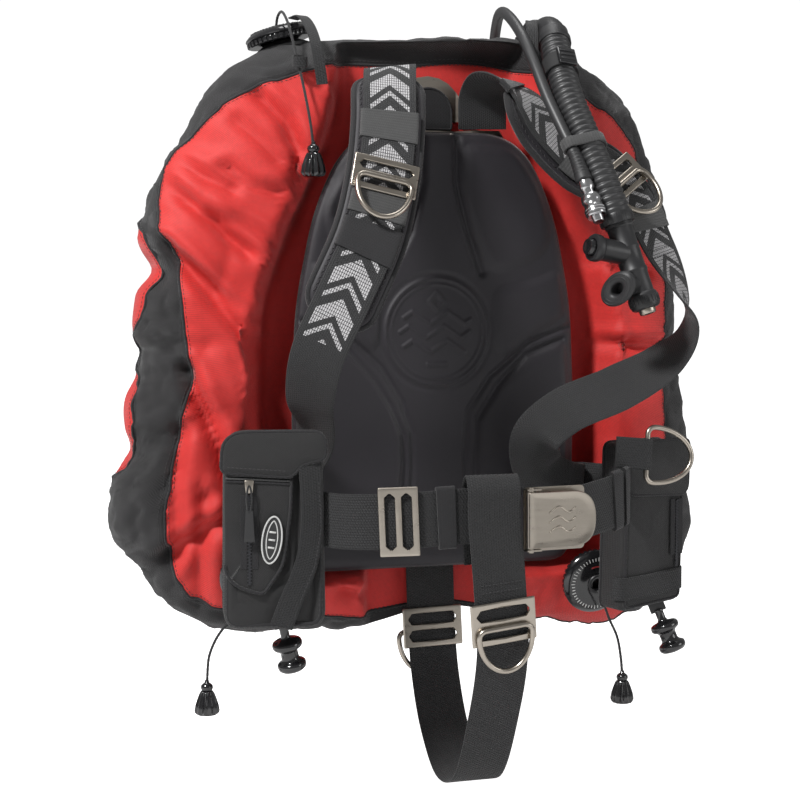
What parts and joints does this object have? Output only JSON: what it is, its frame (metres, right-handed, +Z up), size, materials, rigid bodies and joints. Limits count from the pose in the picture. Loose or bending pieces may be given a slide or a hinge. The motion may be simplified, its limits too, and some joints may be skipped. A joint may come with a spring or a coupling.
{
  "type": "buoyancy compensator vest",
  "caption": "Backplate diving harness with a ring-shaped air cell, padded back, webbing straps, belt with cam buckle, pockets, dump valves and an inflator on a corrugated hose.",
  "frame": {"origin": "rear face of the backplate's channel, midway between the two cylinder bolts", "axes": "+X towards the wearer's left, -Y towards the wearer, +Y towards the cylinder, +Z up"},
  "size_m": [0.617, 0.3464, 0.7576],
  "materials": {
    "steel": "polished stainless plate and wire, fine scratches",
    "webbing": "tight woven nylon webbing",
    "padding": "matt moulded padding under smooth cloth",
    "red_cloth": "coated woven nylon, slight sheen",
    "black_cloth": "ballistic nylon weave",
    "bladder": "smooth welded film",
    "black_plastic": "glossy injection moulded",
    "rubber": "satin moulded rubber",
    "chrome": "chromed brass"
  },
  "bodies": {
    "harness": {"backplate": "steel", "back_pad": "padding", "cell_bolt_upper": "steel", "cell_nut_upper": "steel", "cell_bolt_lower": "steel", "cell_nut_lower": "steel", "cell_shell": "red_cloth", "cell_bladder": "bladder", "shoulder_webbing_right": "webbing", "shoulder_webbing_left": "webbing", "waist_webbing_right": "webbing", "waist_webbing_left": "webbing", "crotch_webbing": "webbing", "shoulder_pad_right": "padding", "shoulder_pad_left": "padding", "chest_slider_right": "steel", "chest_slider_left": "steel", "crotch_slider_front": "steel", "crotch_slider_rear": "steel", "waist_slider": "steel", "waist_keeper_right": "webbing", "waist_keeper_left": "webbing", "buckle_frame": "steel", "buckle_pin": "steel", "cargo_pocket": "black_cloth", "weight_pocket": "black_cloth", "dump_valve_upper": "black_plastic", "dump_cord_upper": "rubber", "dump_knob_upper": "black_plastic", "dump_valve_lower_right": "black_plastic", "dump_cord_lower_right": "rubber", "dump_knob_lower_right": "black_plastic", "dump_valve_lower_left": "black_plastic", "dump_cord_lower_left": "rubber", "dump_knob_lower_left": "black_plastic", "inflator_elbow": "black_plastic", "inflator_hose": "rubber", "inflator_body": "black_plastic", "mouthpiece": "rubber", "pressure_hose": "rubber", "first_stage_fitting": "chrome", "coupler_body": "chrome", "hose_cinch": "rubber", "hose_retainer": "rubber"},
    "chest_ring_right": {"chest_ring_right": "steel"},
    "chest_ring_left": {"chest_ring_left": "steel"},
    "crotch_ring_front": {"crotch_ring_front": "steel"},
    "crotch_ring_rear": {"crotch_ring_rear": "steel"},
    "hip_ring": {"hip_ring": "steel"},
    "buckle_lever": {"buckle_lever": "steel"},
    "zip_slider": {"zip_slider": "steel"},
    "zip_pull": {"zip_pull": "rubber"},
    "release_handle_right": {"release_handle_right": "black_plastic"},
    "release_handle_left": {"release_handle_left": "black_plastic"},
    "dump_poppet_upper": {"dump_poppet_upper": "black_plastic"},
    "dump_poppet_lower_right": {"dump_poppet_lower_right": "black_plastic"},
    "dump_poppet_lower_left": {"dump_poppet_lower_left": "black_plastic"},
    "inflate_button": {"inflate_button": "black_plastic"},
    "deflate_button": {"deflate_button": "black_plastic"},
    "coupler_sleeve": {"coupler_sleeve": "chrome"}
  },
  "joints": [
    {"name": "chest_ring_right_swing", "type": "hinge", "parent": "harness", "child": "chest_ring_right", "pos_m": [-0.08019, -0.12644, 0.13736], "axis": [-0.967, 0.1192, 0.2253], "range_deg": [0, 110]},
    {"name": "chest_ring_left_swing", "type": "hinge", "parent": "harness", "child": "chest_ring_left", "pos_m": [0.16806, -0.10335, 0.14072], "axis": [-0.7734, -0.3541, -0.5257], "range_deg": [0, 110]},
    {"name": "crotch_ring_front_swing", "type": "hinge", "parent": "harness", "child": "crotch_ring_front", "pos_m": [0.00703, -0.2093, -0.26646], "axis": [-0.9939, -0.005, -0.1103], "range_deg": [0, 110]},
    {"name": "crotch_ring_rear_swing", "type": "hinge", "parent": "harness", "child": "crotch_ring_rear", "pos_m": [-0.00606, -0.00727, -0.30766], "axis": [0.9995, -0.0007, 0.0302], "range_deg": [0, 80]},
    {"name": "hip_ring_swing", "type": "hinge", "parent": "harness", "child": "hip_ring", "pos_m": [0.172, -0.15, -0.121], "axis": [-0.0991, -0.1197, -0.9879], "range_deg": [-8, 80]},
    {"name": "buckle_lever_swing", "type": "hinge", "parent": "harness", "child": "buckle_lever", "pos_m": [0.03165, -0.20756, -0.17054], "axis": [0.008, 0.0003, -1], "range_deg": [0, 100]},
    {"name": "zip_slider_slide", "type": "slide", "parent": "harness", "child": "zip_slider", "axis": [0, 0, -1], "range_m": [0, 0.08]},
    {"name": "zip_pull_swing", "type": "hinge", "parent": "zip_slider", "child": "zip_pull", "pos_m": [-0.21326, -0.14776, -0.139], "axis": [-0.9801, 0.1987, 0], "range_deg": [0, 100]},
    {"name": "release_handle_right_slide", "type": "slide", "parent": "harness", "child": "release_handle_right", "axis": [0.2414, 0.0966, -0.9656], "range_m": [0, 0.02]},
    {"name": "release_handle_left_slide", "type": "slide", "parent": "harness", "child": "release_handle_left", "axis": [0.3246, -0.1855, -0.9275], "range_m": [0, 0.02]},
    {"name": "dump_poppet_upper_slide", "type": "slide", "parent": "harness", "child": "dump_poppet_upper", "axis": [-0.2397, 0.0599, 0.969], "range_m": [0, 0.004], "stiffness_N_per_m": 300, "springref_m": -0.002},
    {"name": "dump_poppet_lower_right_slide", "type": "slide", "parent": "harness", "child": "dump_poppet_lower_right", "axis": [-0.0499, -0.9671, -0.2493], "range_m": [0, 0.004], "stiffness_N_per_m": 300, "springref_m": -0.002},
    {"name": "dump_poppet_lower_left_slide", "type": "slide", "parent": "harness", "child": "dump_poppet_lower_left", "axis": [0, -0.9798, -0.2], "range_m": [0, 0.004], "stiffness_N_per_m": 300, "springref_m": -0.002},
    {"name": "inflate_button_slide", "type": "slide", "parent": "harness", "child": "inflate_button", "axis": [0.971, 0.1816, -0.1553], "range_m": [0, 0.0035], "stiffness_N_per_m": 800, "springref_m": -0.001},
    {"name": "deflate_button_slide", "type": "slide", "parent": "harness", "child": "deflate_button", "axis": [-0.2617, 0.2094, 0.9422], "range_m": [0, 0.0035], "stiffness_N_per_m": 800, "springref_m": -0.001},
    {"name": "coupler_sleeve_slide", "type": "slide", "parent": "harness", "child": "coupler_sleeve", "axis": [-0.1166, 0.5053, 0.855], "range_m": [0, 0.005], "stiffness_N_per_m": 600, "springref_m": -0.001}
  ]
}
